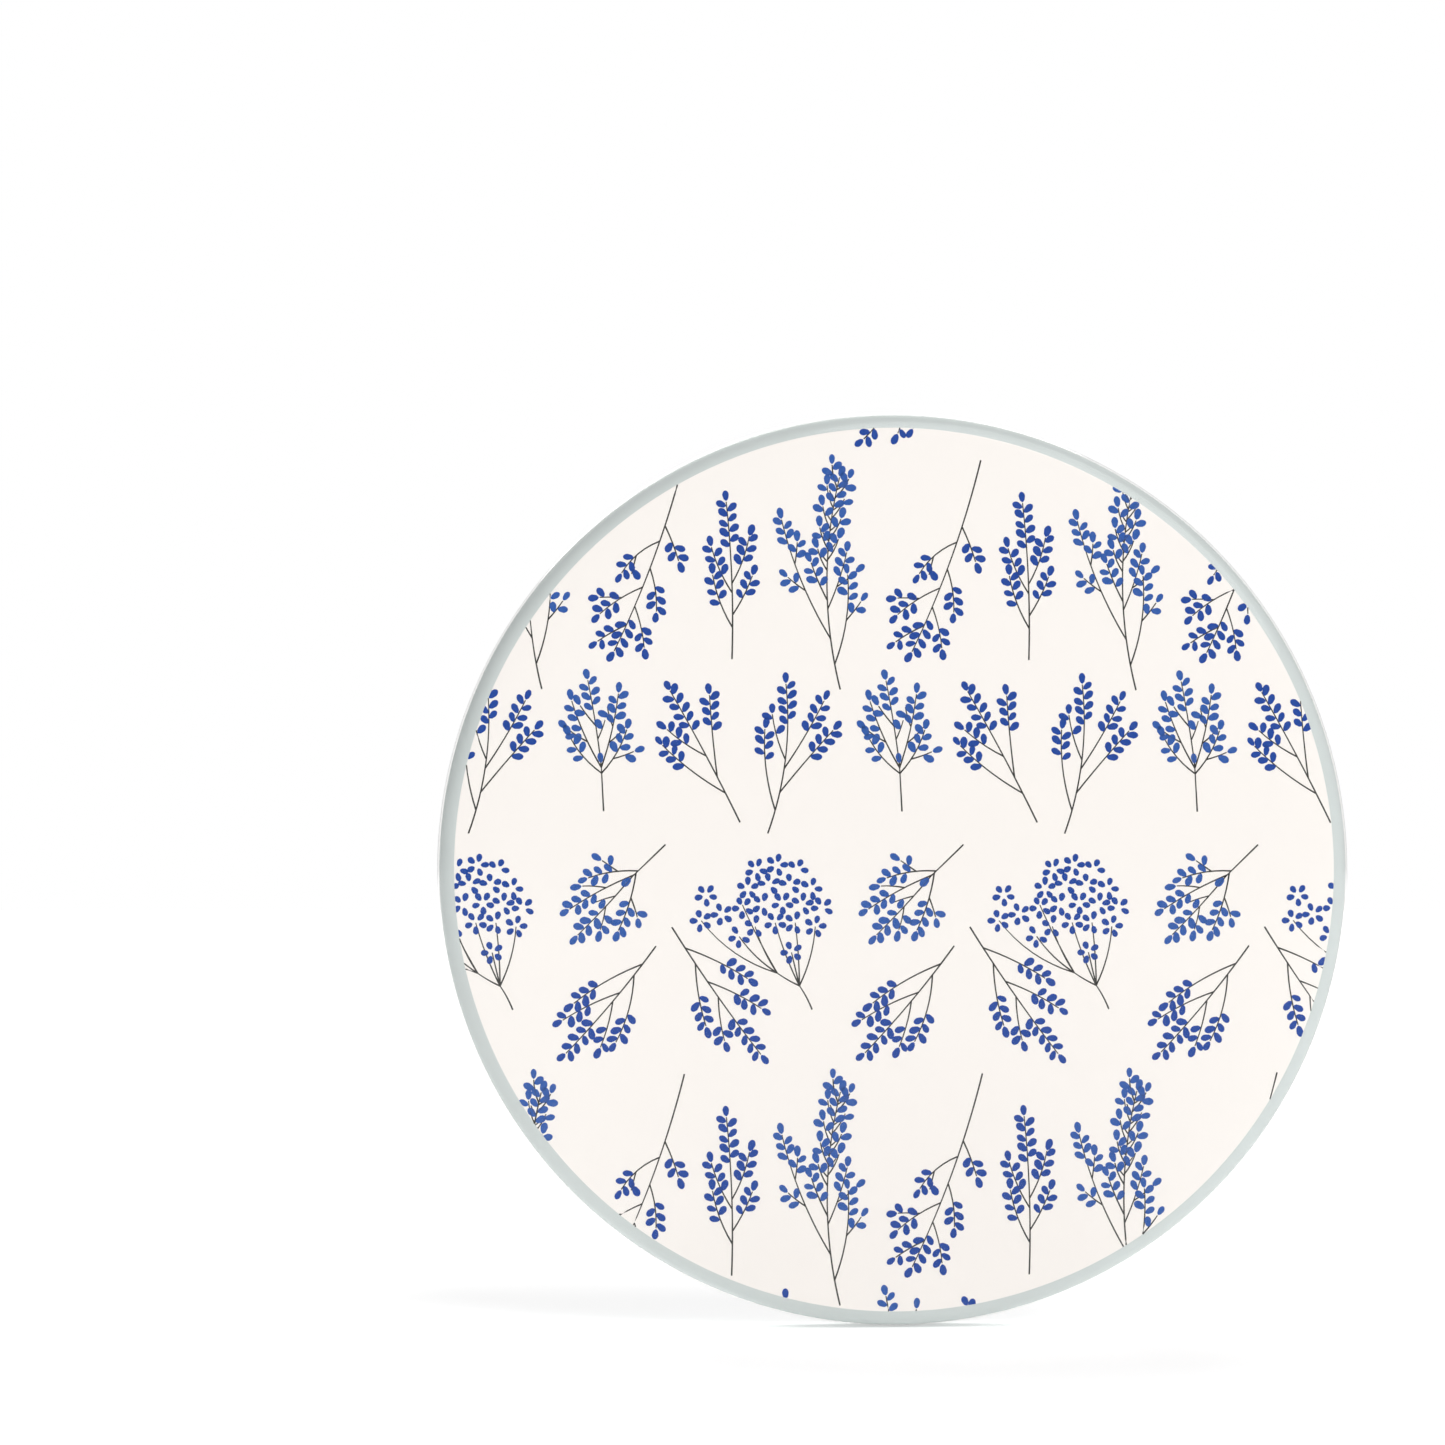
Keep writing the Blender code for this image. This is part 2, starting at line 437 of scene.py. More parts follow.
def printing_ink(name, colour, fade):
    """Offset ink: flat and matt, a little uneven where the screen laid less of it down."""
    material, tree, place = new_material(name)
    grain = add(tree, "TexNoise", {"Vector": place, "Scale": 1 / (0.25 * MM), "Detail": 3.0})
    thin = add(tree, "MapRange", {"Value": grain, "From Min": 0.35, "From Max": 0.75})
    pale = opaque(c + (1 - c) * fade for c in colour)
    mixed = add(tree, "Mix", {0: thin, 6: opaque(colour), 7: pale}, data_type="RGBA")
    finish = {"Base Color": mixed, "Roughness": 0.6, "Specular IOR Level": 0.15}
    return finish_material(material, add(tree, "BsdfPrincipled", finish))


def polyester_film():
    """Clear polyester film, drawn tight: see-through, with a thin sharp gloss and a faint waviness."""
    material, tree, place = new_material("polyester_film_clear")
    wave = add(tree, "TexNoise", {"Vector": place, "Scale": 1 / (5 * MM), "Detail": 1.0})
    bump = add(tree, "Bump", {"Height": wave, "Strength": 0.05, "Distance": 0.1 * MM})
    clear = add(tree, "BsdfTransparent", {"Color": (0.995, 0.995, 0.99, 1)})
    gloss = add(tree, "BsdfAnisotropic", {"Color": (1, 1, 1, 1), "Roughness": 0.09, "Normal": bump})
    facing = add(tree, "Fresnel", {"IOR": 1.3, "Normal": bump})
    behind = add(tree, "NewGeometry").outputs["Backfacing"]
    front = add(tree, "Math", {0: 1.0, 1: behind}, operation="SUBTRACT")
    share = add(tree, "Math", {0: facing, 1: front}, operation="MULTIPLY")
    return finish_material(material, add(tree, "MixShader", {0: share, 1: clear, 2: gloss}))


def bright_tinplate(colours):
    """Bright tinplate, rolled and pressed: a clean metal with a soft uneven haze."""
    material, tree, place = new_material("tinplate_bright")
    haze = add(tree, "TexNoise", {"Vector": place, "Scale": 1 / (1.5 * MM), "Detail": 3.0})
    rough = add(tree, "MapRange", {"Value": haze, **BROAD, "To Min": 0.22, "To Max": 0.42})
    finish = {"Base Color": opaque(colours.tin), "Metallic": 1.0, "Roughness": rough}
    return finish_material(material, add(tree, "BsdfPrincipled", finish))


def bronzed_tinplate(colours, back):
    """Tinplate with a dark bronzed finish, drawn in a die: radial draw marks, and ridges painted pale,
    partly as wear and partly as painted highlight.
    """
    material, tree, place = new_material("tinplate_bronzed_drawn")
    radius, flat = axis_distance(tree, place)
    unit = add(tree, "VectorMath", {0: flat}, operation="NORMALIZE")
    around = add(tree, "VectorMath", {0: unit, "Scale": DRAW_MARKS}, operation="SCALE")
    out = add(tree, "MapRange", {"Value": radius, "From Max": 1 * MM}, clamp=False)
    along = add(tree, "CombineXYZ", {"Y": out})
    drawn_place = add(tree, "VectorMath", {0: around, 1: along}, operation="ADD")
    streak = add(tree, "TexNoise", {"Vector": drawn_place, "Scale": 1.0, "Detail": 5.0})
    patch = add(tree, "TexNoise", {"Vector": place, "Scale": 1 / (3.5 * MM), "Detail": 3.0})
    fleck = add(tree, "TexNoise", {"Vector": place, "Scale": 1 / (0.16 * MM), "Detail": 2.0})

    # Brown with olive patches, redder inside the crease, and darker between the draw marks
    brown = opaque(colours.collet)
    olive = (brown[0] * 0.8, brown[1] * 1.15, brown[2] * 0.85, 1.0)
    patchy = add(tree, "MapRange", {"Value": patch, "From Min": 0.42, "From Max": 0.62})
    toned = add(tree, "Mix", {0: patchy, 6: brown, 7: olive}, data_type="RGBA")
    recess_ends = {"From Min": back.crease_radius - 0.15 * MM, "From Max": back.crease_radius + 0.05 * MM}
    band = add(tree, "MapRange", {"Value": radius, **recess_ends})
    zoned = add(tree, "Mix", {0: band, 6: opaque(colours.collet_recess), 7: toned}, data_type="RGBA")
    dark = add(tree, "Mix", {0: 0.6, 6: zoned, 7: (0, 0, 0, 1)}, data_type="RGBA")
    marks = add(tree, "MapRange", {"Value": streak, "From Min": 0.35, "From Max": 0.65})
    drawn = add(tree, "Mix", {0: marks, 6: dark, 7: zoned}, data_type="RGBA")

    # The crease is painted pale in flecks, which are wear, and in one thin patchy line along its ridge,
    # which is a painted highlight
    flecked = add(tree, "MapRange", {"Value": fleck, "From Min": 0.48, "From Max": 0.66})
    # A painted highlight: a thin patchy line along the crease's ridge
    even = add(tree, "MapRange", {"Value": patch, "From Min": 0.55, "From Max": 0.40, "To Max": 0.3})
    worn_and_highlit = add(tree, "Math", {0: flecked, 1: even}, operation="MAXIMUM")
    crease_line = ring(tree, radius, back.crease_radius, 0.11 * MM)
    crease = add(tree, "Math", {0: crease_line, 1: worn_and_highlit}, operation="MULTIPLY")

    # Short scratches are strewn past it, along the draw marks
    bright = add(tree, "MapRange", {"Value": fleck, "From Min": 0.58, "From Max": 0.70})
    radial = add(tree, "MapRange", {"Value": streak, "From Min": 0.52, "From Max": 0.62})
    short = add(tree, "Math", {0: bright, 1: radial}, operation="MULTIPLY")
    beyond = ring(tree, radius, back.crease_radius + 0.25 * MM, 1.0 * MM)
    scratched = add(tree, "Math", {0: beyond, 1: short}, operation="MULTIPLY")

    # Both ridges of the bead are painted pale along their crowns, the inner one more: wear, and a painted
    # highlight
    inner = ring(tree, radius, back.bead_radius + 0.02 * MM, 0.06 * MM)
    outer = ring(tree, radius, back.bead_radius + 0.22 * MM, 0.05 * MM)
    outer_less = add(tree, "Math", {0: outer, 1: 0.6}, operation="MULTIPLY")
    bead = add(tree, "Math", {0: inner, 1: outer_less}, operation="MAXIMUM")
    ridges = add(tree, "Math", {0: crease, 1: scratched}, operation="MAXIMUM")
    rubbed_and_highlit = add(tree, "Math", {0: ridges, 1: bead}, operation="MAXIMUM")

    # Pale tin laid over the drawn bronze: wear in the flecks and scratches, painted highlight along the
    # crease and the bead
    colour = add(tree, "Mix", {0: rubbed_and_highlit, 6: drawn, 7: opaque(colours.collet_worn_and_highlit)}, data_type="RGBA")
    rough = add(tree, "MapRange", {"Value": streak, **BROAD, "To Min": 0.22, "To Max": 0.48})
    bump = add(tree, "Bump", {"Height": streak, "Strength": 0.35, "Distance": 0.02 * MM})
    finish = {"Base Color": colour, "Metallic": 1.0, "Roughness": rough, "Normal": bump}
    return finish_material(material, add(tree, "BsdfPrincipled", finish))


def ferrite_rubber(colours):
    """Flexible magnet, ferrite powder in rubber, extruded: matt, fine grain, faint upright ribs."""
    material, tree, place = new_material("ferrite_rubber_extruded")
    across = add(tree, "VectorMath", {0: place, 1: (1, 0.4, 0.03)}, operation="MULTIPLY")
    rib = add(tree, "TexNoise", {"Vector": across, "Scale": 1 / (1.1 * MM), "Detail": 0.0})
    grain = add(tree, "TexNoise", {"Vector": place, "Scale": 1 / (0.16 * MM), "Detail": 2.0})
    patch = add(tree, "TexNoise", {"Vector": place, "Scale": 1 / (9 * MM), "Detail": 2.0})
    ribbed = add(tree, "Math", {0: rib, 1: 0.35, 2: grain}, operation="MULTIPLY_ADD")
    tone = add(tree, "MapRange", {"Value": ribbed, "From Min": 0.5, "From Max": 0.9})
    tones = {6: opaque(colours.magnet), 7: opaque(colours.magnet_dust)}
    colour = add(tree, "Mix", {0: tone, **tones}, data_type="RGBA")
    rough = add(tree, "MapRange", {"Value": patch, **BROAD, "To Min": 0.46, "To Max": 0.6})
    bump = add(tree, "Bump", {"Height": ribbed, "Strength": 0.4, "Distance": 0.02 * MM})
    finish = {"Base Color": colour, "Roughness": rough, "Specular IOR Level": 0.25, "Normal": bump}
    return finish_material(material, add(tree, "BsdfPrincipled", finish))


def transfer_adhesive(colours):
    """Acrylic transfer adhesive: milky, soft and slightly wet."""
    material, tree, place = new_material("acrylic_adhesive")
    cloud = add(tree, "TexNoise", {"Vector": place, "Scale": 1 / (1 * MM), "Detail": 2.0})
    tones = {6: opaque(colours.adhesive, 0.85), 7: opaque(colours.adhesive)}
    colour = add(tree, "Mix", {0: cloud, **tones}, data_type="RGBA")
    return finish_material(material, add(tree, "BsdfPrincipled", {"Base Color": colour, "Roughness": 0.35}))


# ---- film and paper


def pleat_table(pleats):
    """Every pleat as its angle, its lap's height, its bare edge's depth, and its bare edge's curve."""
    draw = random.Random(PLEAT_SEED)
    table = []
    for index in range(pleats.count):
        angle = (index + draw.uniform(-pleats.shift, pleats.shift)) * 2 * pi / pleats.count
        table.append((angle, draw.uniform(0.3, 1.0), draw.uniform(0.15, 1.0), draw.uniform(1.2, 5.0)))
    return table


def pleat_at(angle, table, crease_reach):
    """Lap's height, from -1 to 1, and depth of bare edge, from 0 to 1, at an angle.

    A pleat rises to its edge, laps over the next one, and leaves a crease beside its edge.
    """
    for index, (start, height, depth, curve) in enumerate(table):
        cell = (table[(index + 1) % len(table)][0] - start) % (2 * pi)
        along = (angle - start) % (2 * pi)
        if along < cell:
            share = along / cell
            crease = max(0.0, 1 - along / crease_reach)
            return height * (share**4 - crease), depth * share**curve
    return 0.0, 0.0


def tuck(piece, skin, pleats, inset):
    """Pleat the part of a skin that is tucked round the curl."""
    table = pleat_table(pleats)
    centre_radius = skin.radius - skin.curl_radius
    centre_height = skin.curl_back + skin.curl_radius
    curl_span = pi / 2 + skin.curl_past_back
    known = {}  # a section's vertices share one angle, so its pleat is worked out once
    for vertex in piece.data.vertices:
        x, y, z = vertex.co
        radius = hypot(x, z)
        height = -y
        if height > centre_height or radius < centre_radius - skin.curl_radius:
            continue
        angle = atan2(z, x)
        key = round(angle, 5)
        if key not in known:
            known[key] = pleat_at(angle, table, pleats.crease / skin.radius)
        lap, bare = known[key]
        turned = atan2(radius - centre_radius, height - centre_height) % (2 * pi) - pi / 2
        share = min(max(turned / curl_span, 0.0), 1.0)
        eased = share * share * (3 - 2 * share)
        turned = pi / 2 + turned * (1 - pleats.scallop * bare * eased)
        reach = skin.curl_radius - inset + eased * (pleats.lap * lap - pleats.sag)
        new_radius = centre_radius + reach * sin(turned)
        new_height = centre_height + reach * cos(turned)
        vertex.co = (new_radius * cos(angle), -new_height, new_radius * sin(angle))


def model_skin(name, skin, pleats, inset, thickness):
    outline = skin_outline(skin, inset, FACE_DOME_STEPS, skin.curl_past_back)
    piece = spin_outline(name, outline, skin.turn_steps)
    tuck(piece, skin, pleats, inset)
    thicken(piece, thickness)
    smooth(piece, 40)
    return piece


class MAGNET_OT_printed_paper(bpy.types.Operator):
    """Model the paper disc, drawn over the shell and puckered where it is tucked in"""

    bl_idname = "button_magnet.printed_paper"
    bl_label = "Printed Paper"

    def execute(self, context):
        skin = context.scene.magnet_skin
        inset = skin.film + skin.gap
        piece = model_skin("paper_face", skin, context.scene.magnet_pleats, inset, skin.paper)
        material = coated_paper(context.scene.magnet_colours, context.scene.magnet_print.radius)
        settle(piece, material, "printed_paper", "printed_paper")
        return {"FINISHED"}


class MAGNET_OT_clear_film(bpy.types.Operator):
    """Model the clear film over the paper"""

    bl_idname = "button_magnet.clear_film"
    bl_label = "Clear Film"

    def execute(self, context):
        skin = context.scene.magnet_skin
        piece = model_skin("film_cover", skin, context.scene.magnet_pleats, 0.0, skin.film)
        settle(piece, polyester_film(), "clear_film", "clear_film")
        return {"FINISHED"}


class MAGNET_OT_front_shell(bpy.types.Operator):
    """Model the pressed shell under the paper"""

    bl_idname = "button_magnet.front_shell"
    bl_label = "Front Shell"

    def execute(self, context):
        skin = context.scene.magnet_skin
        inset = skin.film + skin.paper + 2 * skin.gap
        outline = skin_outline(skin, inset, SHELL_DOME_STEPS, -skin.shell_short)
        piece = spin_outline("shell_pressing", outline, SHELL_TURN_STEPS)
        thicken(piece, skin.tinplate)
        smooth(piece, 40)
        settle(piece, bright_tinplate(context.scene.magnet_colours), "front_shell", "front_shell")
        return {"FINISHED"}


# ---- leaf print


class Stem(NamedTuple):
    """A stem of a sprig. Angles are in degrees."""

    at: float  # share of its parent's length at which it leaves it
    turn: float  # away from its parent's heading
    length: float  # in mm
    bend: float  # from its start to its tip
    leaves: int  # from its tip back
    offshoots: tuple = ()


def twigs(first, last, count, length, leaves, spread):
    """Short stems left and right by turns, between two shares of their parent's length."""
    made = []
    for index in range(count):
        side = 1 if index % 2 else -1
        at = first + (last - first) * index / (count - 1)
        made.append(Stem(at, side * spread, length, -22 * side, leaves))
    return made


TALL_SPRAY = Stem(0, -14, 13.6, 28, 7, (
    Stem(0.12, 32, 5.8, -26, 6, (Stem(0.50, 34, 1.5, -8, 4),)),
    Stem(0.24, -24, 8.2, 18, 6, (
        Stem(0.42, -34, 1.4, 10, 4),
        Stem(0.64, 30, 1.4, -8, 4),
    )),
    Stem(0.38, 28, 3.8, -12, 6, (Stem(0.40, 38, 1.5, -12, 4),)),
    Stem(0.42, -26, 2.6, 10, 6),
    *twigs(0.56, 0.95, 9, 1.5, 4, 36),
    *twigs(0.60, 0.94, 8, 0.7, 2, 50),
))
UPRIGHT_SPRIG = Stem(0, 2, 10.0, -8, 10, (
    Stem(0.20, -32, 3.6, 22, 7),
    Stem(0.28, 34, 2.8, -14, 6),
    Stem(0.42, -32, 3.2, 18, 7),
    Stem(0.48, 32, 3.2, -20, 7),
))
HANGING_BRANCH = Stem(0, -166, 13.0, 12, 8, (
    Stem(0.34, -44, 2.4, 10, 5),
    Stem(0.42, 50, 3.2, -38, 5, (Stem(0.55, -34, 1.2, 0, 3),)),
    Stem(0.56, -40, 2.8, 22, 6),
    Stem(0.66, 46, 3.2, -20, 6, (Stem(0.46, 36, 1.4, -8, 3),)),
    Stem(0.76, -44, 2.7, 16, 6),
    Stem(0.86, 42, 2.1, -12, 5),
))
FIVE_STEMS = Stem(0, 20, 9.6, -26, 9, (
    Stem(0.16, -34, 5.2, 22, 7),
    Stem(0.28, 26, 5.2, 4, 8),
    Stem(0.44, 26, 5.0, -8, 8),
    Stem(0.50, -32, 3.0, 18, 6),
))
LEANING_SPRIG = Stem(0, -26, 9.4, -4, 10, (
    Stem(0.22, -34, 5.0, 16, 7),
    Stem(0.34, 20, 5.2, 4, 8),
    Stem(0.50, -36, 3.0, 16, 6),
))
BUSH = Stem(0, -3, 3.0, 0, 1, (
    Stem(0.80, 46, 3.2, -26, 6, (Stem(0.36, 42, 1.4, -10, 4),)),
    Stem(0.92, 22, 4.8, -12, 7, (
        Stem(0.34, 38, 1.5, -14, 4),
        Stem(0.56, -34, 1.3, 12, 3),
    )),
    Stem(0.98, -4, 5.4, -4, 7, (
        Stem(0.30, 34, 1.3, -10, 3),
        Stem(0.46, -34, 1.6, 10, 4),
    )),
    Stem(0.92, -28, 4.6, 14, 7, (Stem(0.40, -38, 1.5, 12, 4),)),
    Stem(0.80, -52, 3.1, 28, 6),
))
HANGING_FORK = Stem(0, -144, 8.8, 8, 9, (
    Stem(0.16, 32, 5.0, -18, 7),
    Stem(0.26, -36, 4.4, 26, 7),
    Stem(0.42, 32, 4.0, -14, 7),
    Stem(0.50, -32, 3.0, 14, 6),
))
SLANTED_SPRIG = Stem(0, -212, 9.8, -6, 10, (
    Stem(0.16, -38, 4.4, 14, 7),
    Stem(0.28, 32, 4.0, -16, 7),
    Stem(0.42, -36, 3.8, 14, 7),
    Stem(0.54, 34, 2.8, -14, 6),
))
DROOPING_BUSH = Stem(0, -134, 3.0, 0, 1, (
    Stem(0.80, 48, 3.2, -24, 6, (Stem(0.40, 40, 1.2, 0, 3),)),
    Stem(0.92, 22, 4.6, -12, 7, (Stem(0.42, 38, 1.5, -14, 4),)),
    Stem(0.98, -6, 5.0, 6, 7, (
        Stem(0.32, 36, 1.3, -10, 3),
        Stem(0.50, -36, 1.5, 12, 4),
    )),
    Stem(0.86, -38, 3.8, 18, 7, (Stem(0.42, -38, 1.3, 8, 3),)),
))

# Each sprig's root, in mm from the middle of the face, and whether its leaves are light
SPRIGS = (
    ("tall_spray", TALL_SPRAY, -3.6, 11.3, True),
    ("upright_sprig", UPRIGHT_SPRIG, 8.4, 13.2, False),
    ("hanging_branch", HANGING_BRANCH, 5.4, 25.9, False),
    ("five_stems", FIVE_STEMS, -8.2, 2.2, False),
    ("leaning_sprig", LEANING_SPRIG, 8.9, 2.9, False),
    ("bush", BUSH, 0.3, 3.6, True),
    ("hanging_fork", HANGING_FORK, 3.6, -4.9, False),
    ("flower_umbel", None, -5.4, -8.9, False),
    ("slanted_sprig", SLANTED_SPRIG, 4.6, -3.7, False),
    ("drooping_bush", DROOPING_BUSH, 4.2, 1.5, True),
)


def ahead(point, heading, distance):
    """The point at a distance along a heading, which is measured from up towards the right."""
    return point[0] + distance * sin(heading), point[1] + distance * cos(heading)


class Sprig:
    """A sprig as it grows: lines of points, and leaves as (x, z, heading, length, width)."""

    def __init__(self, sizes, seed):
        self.sizes = sizes
        self.draw = random.Random(seed)
        self.lines = []
        self.leaves = []
        self.middles = []

    def add_leaf(self, start, heading, length, width):
        """Add a leaf, unless it would cover one that is there."""
        middle = ahead(start, heading, length / 2)
        if all(hypot(middle[0] - a, middle[1] - b) > self.sizes.leaf_room for a, b in self.middles):
            self.middles.append(middle)
            self.leaves.append((*start, heading, length, width))

    def leaf(self, point, heading):
        scale = self.draw.uniform(0.90, 1.08)
        length = self.sizes.leaf_length * scale
        width = self.sizes.leaf_width * scale * self.draw.uniform(0.94, 1.08)
        self.add_leaf(ahead(point, heading, self.sizes.leaf_stalk), heading, length, width)

    def flower(self, centre):
        """Five petals round a centre, each a little off its even place."""
        turn = self.draw.uniform(0, 2 * pi / 5)
        for index in range(5):
            heading = turn + index * 2 * pi / 5
            start = ahead(centre, heading, self.sizes.petal_start)
            turned = heading + self.draw.uniform(-0.14, 0.14)
            length = self.sizes.petal_length * self.draw.uniform(0.94, 1.06)
            width = self.sizes.petal_width * self.draw.uniform(0.94, 1.08)
            self.add_leaf(start, turned, length, width)

    def grow(self, stem, start, heading):
        """Draw a stem, its leaves from the tip back, and then its offshoots."""
        length = stem.length * MM
        steps = max(4, ceil(stem.length / STEM_STEP_MM))
        points = [start]
        headings = [heading]
        for step in range(steps):
            middle = heading + radians(stem.bend) * (step + 0.5) / steps
            points.append(ahead(points[-1], middle, length / steps))
            headings.append(heading + radians(stem.bend) * (step + 1) / steps)
        self.lines.append(points)

        def at(share):
            place = min(max(share, 0.0), 1.0) * steps
            index = min(int(place), steps - 1)
            part = place - index
            first, second = points[index], points[index + 1]
            point = tuple(a + (b - a) * part for a, b in zip(first, second))
            return point, headings[index] + (headings[index + 1] - headings[index]) * part

        side = self.draw.choice((-1, 1))
        for index in range(stem.leaves):
            point, direction = at(1 - self.sizes.leaf_pitch * index / 2 / length)
            turn = side * radians(self.draw.uniform(44, 60))
            if index == 0:
                turn = radians(self.draw.uniform(-8, 8))
            side = -side
            self.leaf(point, direction + turn)
        for offshoot in stem.offshoots:
            point, direction = at(offshoot.at)
            self.grow(offshoot, point, direction + radians(offshoot.turn))

    def arc(self, start, end, sag):
        """A stem from start to end, bowed sideways by sag times its length."""
        across = (end[1] - start[1], start[0] - end[0])
        middle = [(a + b) / 2 + sag * c for a, b, c in zip(start, end, across)]
        line = []
        for step in range(ARC_STEPS + 1):
            t = step / ARC_STEPS
            shares = ((1 - t) ** 2, 2 * t * (1 - t), t * t)
            line.append([sum(map(mul, shares, ends)) for ends in zip(start, middle, end)])
        self.lines.append(line)

    def umbel(self):
        """Rows of small flowers packed in a dome, with a smaller head beside it, on one foot."""
        fork = (-0.8 * MM, 1.5 * MM)
        side = (-2.2 * MM, 2.3 * MM)
        self.arc((0, 0), fork, 0.06)
        self.arc(fork, side, -0.05)

        # Each row has a number of flowers, a height and a width, and leans past the row below it
        rows = ((4, 5.5, 3.8), (5, 6.7, 5.0), (4, 7.9, 4.0), (3, 9.1, 2.6))
        middle, lean, droop = -1.7, 0.18, 1.1
        heads = []
        for row, (count, height, width) in enumerate(rows):
            for index in range(count):
                out = index / (count - 1) - 0.5
                x = middle - lean * row - out * width
                heads.append((x * MM, (height - droop * out * out) * MM))
        for index, sag in enumerate((0.10, 0.03, -0.05)):
            self.arc(fork, heads[index], sag)
        self.arc(side, heads[3], -0.08)
        beside = [(x * MM, z * MM) for x, z in ((-4.4, 6.6), (-5.7, 6.0), (-6.7, 7.2), (-7.0, 5.6))]
        self.arc(side, beside[0], -0.03)
        self.arc(side, beside[3], -0.16)
        low = [(-1.3 * MM, 3.6 * MM), (-4.6 * MM, 4.6 * MM)]
        self.arc(fork, low[0], 0.0)
        self.arc(side, low[1], -0.10)
        for head in heads + beside + low:
            self.flower(head)


def repeats(sizes, x, z):
    """Where a sprig's root falls as the print repeats over the face."""
    farthest = 1.6 * sizes.radius  # a root beyond this is too far out for its sprig to reach in
    places = []
    for column in range(-3, 4):
        for row in range(-2, 3):
            place = (x * MM + column * sizes.tile_width, z * MM + row * sizes.tile_height)
            if hypot(*place) < farthest:
                places.append(place)
    return places


def leaf_template():
    """One leaf, one unit long and wide, with its stalk end at the origin: a drop on a circle."""
    deselect_all()
    bpy.ops.mesh.primitive_circle_add(vertices=14, radius=0.5, fill_type="TRIFAN", location=(0, 0, 0))
    leaf = named("leaf_template")
    # Its stalk half is narrowed, and the very end of it once more
    for end, width in ((-0.1, 0.86), (-0.35, 0.72)):
        edit(leaf, lambda vertex: vertex.co.y < end)
        bpy.ops.transform.resize(value=(width, 1, 1), center_override=(0, 0, 0))
    bpy.ops.mesh.select_all(action="SELECT")
    bpy.ops.transform.translate(value=(0, 0.5, 0))
    bpy.ops.object.mode_set(mode="OBJECT")
    return leaf


def copy_of(template, matrix):
    """A copy with a mesh of its own."""
    made = template.copy()
    made.data = template.data.copy()
    made.matrix_world = matrix
    bpy.context.collection.objects.link(made)
    return made


def upright(x, z, heading=0.0, width=1.0, length=1.0):
    """Stand a shape drawn on XY up on the face, facing the front, with its Y along the heading."""
    place = Matrix.Translation((x, 0, z)) @ Matrix.Rotation(heading, 4, "Y")
    return place @ Matrix.Rotation(pi / 2, 4, "X") @ Matrix.Diagonal((width, length, 1, 1))


def trim_leaves(piece, radius):
    """Drop the faces of leaves that lie past the print's edge and cut the others back to it."""
    mesh = piece.data
    past = {vertex.index for vertex in mesh.vertices if hypot(vertex.co.x, vertex.co.z) > radius}
    dropped = set()
    for face in mesh.polygons:
        if past.issuperset(face.vertices):
            dropped.update(face.vertices)
    edit(piece, lambda vertex: vertex.index in dropped)
    bpy.ops.mesh.delete(type="VERT")
    bpy.ops.object.mode_set(mode="OBJECT")
    for vertex in mesh.vertices:
        reach = hypot(vertex.co.x, vertex.co.z)
        if reach > radius:
            vertex.co.x *= radius / reach
            vertex.co.z *= radius / reach


def trim_line(line, radius):
    """The stretches of a line that lie on the print."""
    kept = []
    run = []
    for before, after in zip(line, line[1:]):
        starts_inside, ends_inside = (hypot(*point) <= radius for point in (before, after))
        if not starts_inside and not ends_inside:
            continue
        low, high = 0.0, 1.0
        for _ in range(TRIM_HALVINGS):
            middle = (low + high) / 2
            point = [a + (b - a) * middle for a, b in zip(before, after)]
            if (hypot(*point) <= radius) == starts_inside:
                low = middle
            else:
                high = middle
        cut = tuple(a + (b - a) * low for a, b in zip(before, after))
        if not run:
            run = [before if starts_inside else cut]
        run.append(after if ends_inside else cut)
        if not ends_inside:
            kept.append(run)
            run = []
    if run:
        kept.append(run)
    return kept


def draw_line(curve, points, width):
    """Add a line to an upright curve. Its width, a share of the curve's own, thins to the end."""
    spline = curve.splines.new("POLY")
    spline.points.add(len(points) - 1)
    for index, (x, z) in enumerate(points):
        spline.points[index].co = (x, 0, z, 1)
        spline.points[index].radius = width * (1 - LINE_TAPER * index / len(points))


def drape(piece, skin, flatten):
    """Lay an upright print on the paper's dome, its own thickness scaled by flatten."""
    inset = skin.film + skin.gap
    for vertex in piece.data.vertices:
        height = face_height(skin, hypot(vertex.co.x, vertex.co.z), inset)
        vertex.co.y = -height + vertex.co.y * flatten


def grown_sprigs(sizes):
    """Every sprig of the print's repeat, grown from its root."""
    grown = []
    for seed, (name, stem, x, z, light) in enumerate(SPRIGS, FIRST_SPRIG_SEED):
        sprig = Sprig(sizes, seed)
        if stem is None:
            sprig.umbel()
        else:
            sprig.grow(stem, (0.0, 0.0), radians(stem.turn))
        grown.append((name, sprig, x, z, light))
    return grown


class MAGNET_OT_leaf_print(bpy.types.Operator):
    """Print the blue leaves: one leaf is modelled, copied into sprigs, and the sprigs repeated"""

    bl_idname = "button_magnet.leaf_print"
    bl_label = "Leaf Print"

    def execute(self, context):
        sizes = context.scene.magnet_print
        skin = context.scene.magnet_skin
        colours = context.scene.magnet_colours
        leaf = leaf_template()
        sheets = {True: [], False: []}
        for name, sprig, x, z, light in grown_sprigs(sizes):
            stamps = [
                copy_of(leaf, upright(px, pz, heading, width, length))
                for px, pz, heading, length, width in sprig.leaves
            ]
            master = join(stamps, name)
            for place in repeats(sizes, x, z):
                sheets[light].append(copy_of(master, Matrix.Translation((place[0], 0, place[1]))))
            bpy.data.objects.remove(master)
        bpy.data.objects.remove(leaf)
        inks = (
            (False, "deep", colours.leaf_deep, 0.015),
            (True, "light", colours.leaf_light, 0.025),
        )
        for light, shade, colour, fade in inks:
            piece = join(sheets[light], "leaf_print_" + shade)
            trim_leaves(piece, sizes.radius)
            drape(piece, skin, 0.0)
            thicken(piece, 2 * sizes.leaf_ink, 0.0)
            settle(piece, printing_ink("offset_ink_" + shade, colour, fade), "printed_paper")
        return {"FINISHED"}


